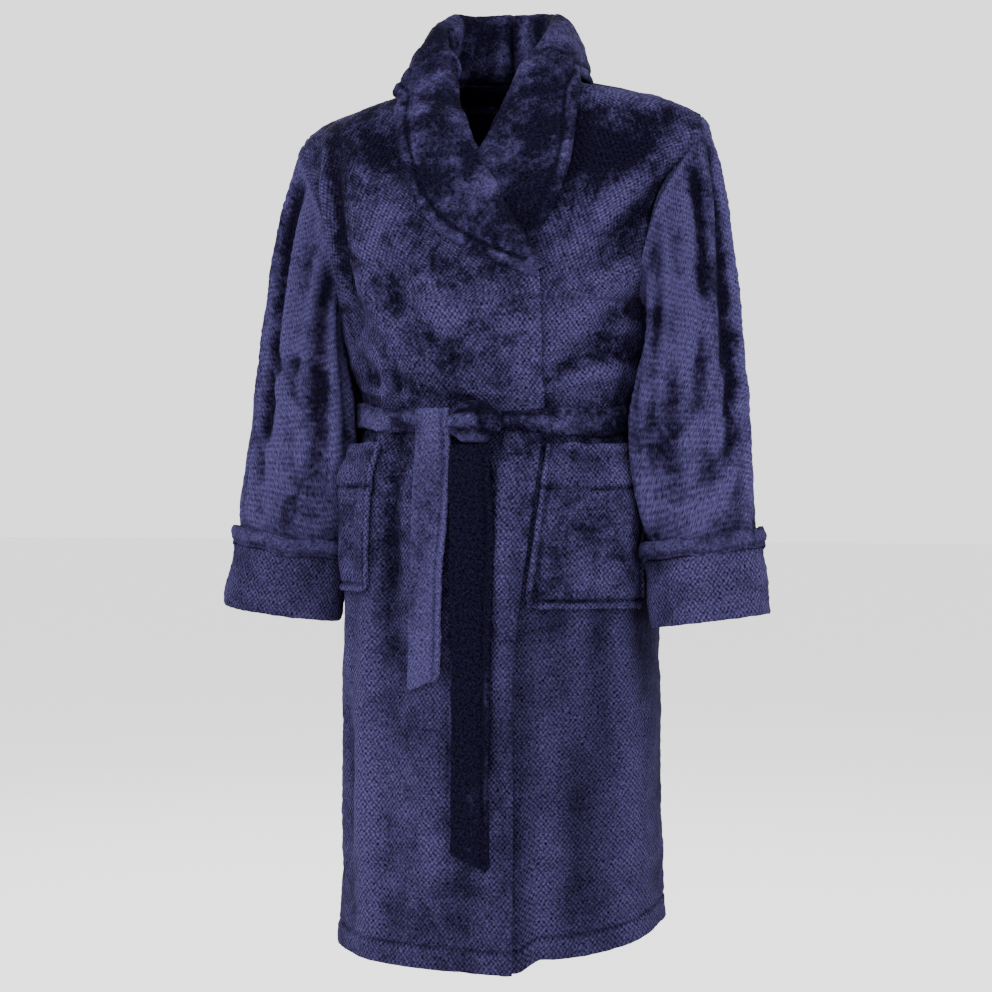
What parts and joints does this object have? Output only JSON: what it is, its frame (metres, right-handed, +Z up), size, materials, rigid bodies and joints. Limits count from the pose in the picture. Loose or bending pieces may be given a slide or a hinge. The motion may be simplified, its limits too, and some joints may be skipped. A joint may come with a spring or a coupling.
{
  "type": "bathrobe",
  "caption": "Knee-length plush bathrobe with a shawl collar, turned-back cuffs, patch pockets and a tied sash.",
  "frame": {"origin": "middle of the neck opening, level with the neck seam, where a hanger's neck stands", "axes": "+Z up, the front faces -Y, and the wearer's left side is +X"},
  "size_m": [0.7086, 0.2955, 1.1514],
  "materials": {
    "plush": "indigo plush fleece with a rice-grain texture",
    "reverse": "smooth back of the fleece, dark indigo",
    "sash": "indigo plush fleece, stitched along its edges"
  },
  "bodies": {
    "robe": {"back_panel": "plush", "right_front_panel": "plush", "left_front_panel": "plush", "right_front_facing": "reverse", "left_front_facing": "reverse", "right_collar": "plush", "left_collar": "plush", "neck_tape": "reverse", "right_pocket": "plush", "left_pocket": "plush", "belt_waist": "sash", "belt_knot": "sash", "right_belt_loop": "sash", "left_belt_loop": "sash"},
    "right_arm": {"right_sleeve": "plush", "right_cuff": "plush", "right_cuff_band": "plush"},
    "left_arm": {"left_sleeve": "plush", "left_cuff": "plush", "left_cuff_band": "plush"},
    "short_end": {"belt_tail_short": "sash"},
    "long_end": {"belt_tail_long": "sash"}
  },
  "joints": [
    {"name": "right_sleeve_raise", "type": "hinge", "parent": "robe", "child": "right_arm", "pos_m": [-0.247, 0.008, -0.048], "axis": [0, 1, 0], "range_deg": [0, 45]},
    {"name": "left_sleeve_raise", "type": "hinge", "parent": "robe", "child": "left_arm", "pos_m": [0.247, 0.008, -0.048], "axis": [0, -1, 0], "range_deg": [0, 45]},
    {"name": "short_end_swing", "type": "hinge", "parent": "robe", "child": "short_end", "pos_m": [-0.047, -0.131, -0.4], "axis": [-1, 0, 0], "range_deg": [0, 75]},
    {"name": "long_end_swing", "type": "hinge", "parent": "robe", "child": "long_end", "pos_m": [0, -0.152, -0.441], "axis": [-1, 0, 0], "range_deg": [0, 75]}
  ]
}
